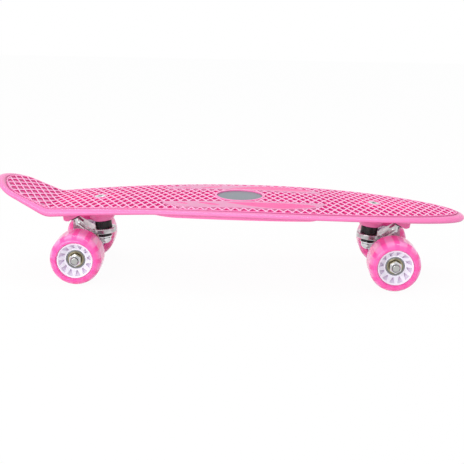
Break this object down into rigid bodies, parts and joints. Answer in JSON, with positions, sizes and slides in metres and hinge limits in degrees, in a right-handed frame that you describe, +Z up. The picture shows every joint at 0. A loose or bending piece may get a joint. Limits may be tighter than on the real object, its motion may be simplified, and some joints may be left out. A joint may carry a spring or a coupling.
{
  "type": "cruiser skateboard",
  "caption": "Short cruiser skateboard: a moulded pink plastic deck with a latticed top and kicked tail, on two sprung steering trucks with soft pink wheels on bearings.",
  "frame": {"origin": "On the ground under the middle of the board's length and width, with the wheels standing on Z = 0.", "axes": "+X points to the nose, +Y to the rider's left when facing the nose, and +Z up."},
  "size_m": [0.56, 0.16, 0.1131],
  "materials": {
    "deck_plastic": "satin moulded pink",
    "badge_metal": "satin grey",
    "bolt_steel": "zinc plated",
    "nut_steel": "zinc plated",
    "bushing_rubber": "matte black",
    "cup_plastic": "matte black",
    "hanger_cast": "raw cast, lightly tumbled",
    "axle_steel": "plain",
    "tyre_soft": "translucent pink cast urethane",
    "core_plastic": "white moulded",
    "bearing_steel": "ground steel with dark shields",
    "washer_brass": "plain"
  },
  "bodies": {
    "board": {"deck": "deck_plastic", "badge_plate": "badge_metal", "front_kingpin": "bolt_steel", "front_upper_bushing": "bushing_rubber", "front_lower_bushing": "bushing_rubber", "front_cup_washer": "bolt_steel", "front_kingpin_nut": "nut_steel", "front_pivot_cup": "cup_plastic", "rear_kingpin": "bolt_steel", "rear_upper_bushing": "bushing_rubber", "rear_lower_bushing": "bushing_rubber", "rear_cup_washer": "bolt_steel", "rear_kingpin_nut": "nut_steel", "rear_pivot_cup": "cup_plastic"},
    "front_truck": {"front_hanger": "hanger_cast", "front_axle": "axle_steel", "front_left_inner_bearing_inner_ring": "bearing_steel", "front_left_outer_bearing_inner_ring": "bearing_steel", "front_left_bearing_spacer": "bearing_steel", "front_left_inner_washer": "washer_brass", "front_left_outer_washer": "washer_brass", "front_left_axle_nut": "nut_steel", "front_right_inner_bearing_inner_ring": "bearing_steel", "front_right_outer_bearing_inner_ring": "bearing_steel", "front_right_bearing_spacer": "bearing_steel", "front_right_inner_washer": "washer_brass", "front_right_outer_washer": "washer_brass", "front_right_axle_nut": "nut_steel"},
    "front_left_wheel": {"front_left_tyre": "tyre_soft", "front_left_core": "core_plastic", "front_left_inner_bearing_outer_ring": "bearing_steel", "front_left_outer_bearing_outer_ring": "bearing_steel"},
    "front_right_wheel": {"front_right_tyre": "tyre_soft", "front_right_core": "core_plastic", "front_right_inner_bearing_outer_ring": "bearing_steel", "front_right_outer_bearing_outer_ring": "bearing_steel"},
    "rear_truck": {"rear_hanger": "hanger_cast", "rear_axle": "axle_steel", "rear_left_inner_bearing_inner_ring": "bearing_steel", "rear_left_outer_bearing_inner_ring": "bearing_steel", "rear_left_bearing_spacer": "bearing_steel", "rear_left_inner_washer": "washer_brass", "rear_left_outer_washer": "washer_brass", "rear_left_axle_nut": "nut_steel", "rear_right_inner_bearing_inner_ring": "bearing_steel", "rear_right_outer_bearing_inner_ring": "bearing_steel", "rear_right_bearing_spacer": "bearing_steel", "rear_right_inner_washer": "washer_brass", "rear_right_outer_washer": "washer_brass", "rear_right_axle_nut": "nut_steel"},
    "rear_left_wheel": {"rear_left_tyre": "tyre_soft", "rear_left_core": "core_plastic", "rear_left_inner_bearing_outer_ring": "bearing_steel", "rear_left_outer_bearing_outer_ring": "bearing_steel"},
    "rear_right_wheel": {"rear_right_tyre": "tyre_soft", "rear_right_core": "core_plastic", "rear_right_inner_bearing_outer_ring": "bearing_steel", "rear_right_outer_bearing_outer_ring": "bearing_steel"}
  },
  "joints": [
    {"name": "front_steer", "type": "hinge", "parent": "board", "child": "front_truck", "pos_m": [0.202, 0, 0.0665], "axis": [0.8914, 0, 0.4532], "range_deg": [-8, 8], "stiffness_Nm_per_rad": 40, "deforming": ["front_upper_bushing", "front_lower_bushing"]},
    {"name": "rear_steer", "type": "hinge", "parent": "board", "child": "rear_truck", "pos_m": [-0.19, 0, 0.0665], "axis": [-0.8914, 0, 0.4532], "range_deg": [-8, 8], "stiffness_Nm_per_rad": 40, "deforming": ["rear_upper_bushing", "rear_lower_bushing"]},
    {"name": "front_left_spin", "type": "hinge", "parent": "front_truck", "child": "front_left_wheel", "pos_m": [0.19, 0.0557, 0.03], "axis": [0, 1, 0], "continuous": true},
    {"name": "front_right_spin", "type": "hinge", "parent": "front_truck", "child": "front_right_wheel", "pos_m": [0.19, -0.0557, 0.03], "axis": [0, 1, 0], "continuous": true},
    {"name": "rear_left_spin", "type": "hinge", "parent": "rear_truck", "child": "rear_left_wheel", "pos_m": [-0.178, 0.0557, 0.03], "axis": [0, 1, 0], "continuous": true},
    {"name": "rear_right_spin", "type": "hinge", "parent": "rear_truck", "child": "rear_right_wheel", "pos_m": [-0.178, -0.0557, 0.03], "axis": [0, 1, 0], "continuous": true}
  ]
}
